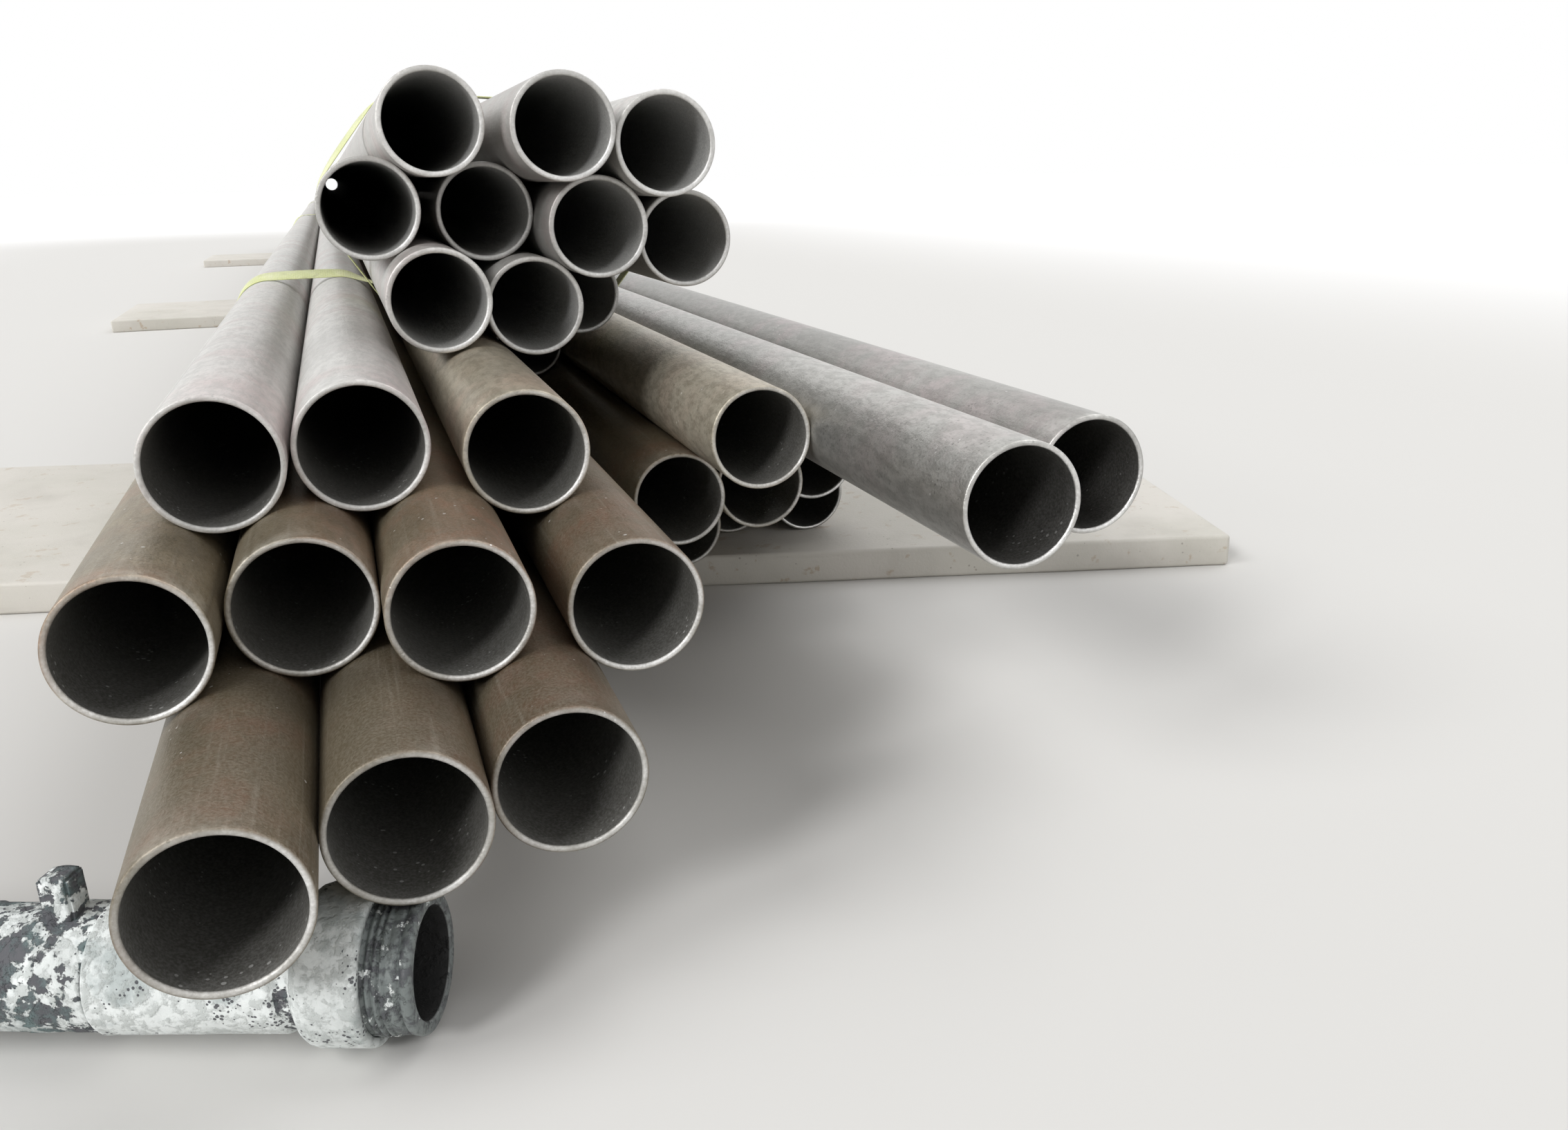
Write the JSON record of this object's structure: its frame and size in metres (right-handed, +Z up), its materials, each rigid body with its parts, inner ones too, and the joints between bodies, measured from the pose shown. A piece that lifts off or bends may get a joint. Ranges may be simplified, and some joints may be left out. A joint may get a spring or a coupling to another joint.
{
  "type": "stack of steel tubes",
  "caption": "Strapped bundles of long plain steel tubes stacked on boards, one bundle bridging the others, front ends uneven, an old threaded pipe under the front.",
  "frame": {"origin": "on the floor, under the middle of the whole stack's bounding box", "axes": "+Y along the tubes, from their uneven front ends to the back; +X across the stack, towards the right bundle; +Z up"},
  "size_m": [1.2704, 6.8, 0.3693],
  "materials": {
    "lower_tube": "dull mill finish",
    "upper_tube": "dull mill finish",
    "strap": "embossed packing strap",
    "board": "pale painted board",
    "batten": "rough sawn",
    "old_pipe": "crusted with old paint and scale",
    "collar": "crusted with old paint and scale"
  },
  "bodies": {
    "root": {"batten_1": "batten", "batten_2": "batten", "batten_3": "batten", "board_1": "board", "board_2": "board", "board_3": "board", "collar": "collar", "left_bottom_tube_1": "lower_tube", "left_bottom_tube_2": "lower_tube", "left_bottom_tube_3": "lower_tube", "left_middle_tube_1": "lower_tube", "left_middle_tube_2": "lower_tube", "left_middle_tube_3": "lower_tube", "left_middle_tube_4": "lower_tube", "left_strap_1": "strap", "left_strap_2": "strap", "left_strap_3": "strap", "left_top_tube_1": "lower_tube", "left_top_tube_2": "lower_tube", "left_top_tube_3": "lower_tube", "loose_tube": "lower_tube", "old_pipe": "old_pipe", "right_bottom_tube_1": "lower_tube", "right_bottom_tube_2": "lower_tube", "right_bottom_tube_3": "lower_tube", "right_middle_tube_1": "lower_tube", "right_middle_tube_2": "lower_tube", "right_middle_tube_3": "lower_tube", "right_middle_tube_4": "lower_tube", "right_strap_1": "strap", "right_strap_2": "strap", "right_strap_3": "strap", "right_top_tube_1": "lower_tube", "right_top_tube_2": "lower_tube", "right_top_tube_3": "lower_tube", "upper_bottom_tube_1": "upper_tube", "upper_bottom_tube_2": "upper_tube", "upper_bottom_tube_3": "upper_tube", "upper_middle_tube_1": "upper_tube", "upper_middle_tube_2": "upper_tube", "upper_middle_tube_3": "upper_tube", "upper_middle_tube_4": "upper_tube", "upper_strap_1": "strap", "upper_strap_2": "strap", "upper_strap_3": "strap", "upper_top_tube_1": "upper_tube", "upper_top_tube_2": "upper_tube", "upper_top_tube_3": "upper_tube"}
  },
  "joints": []
}
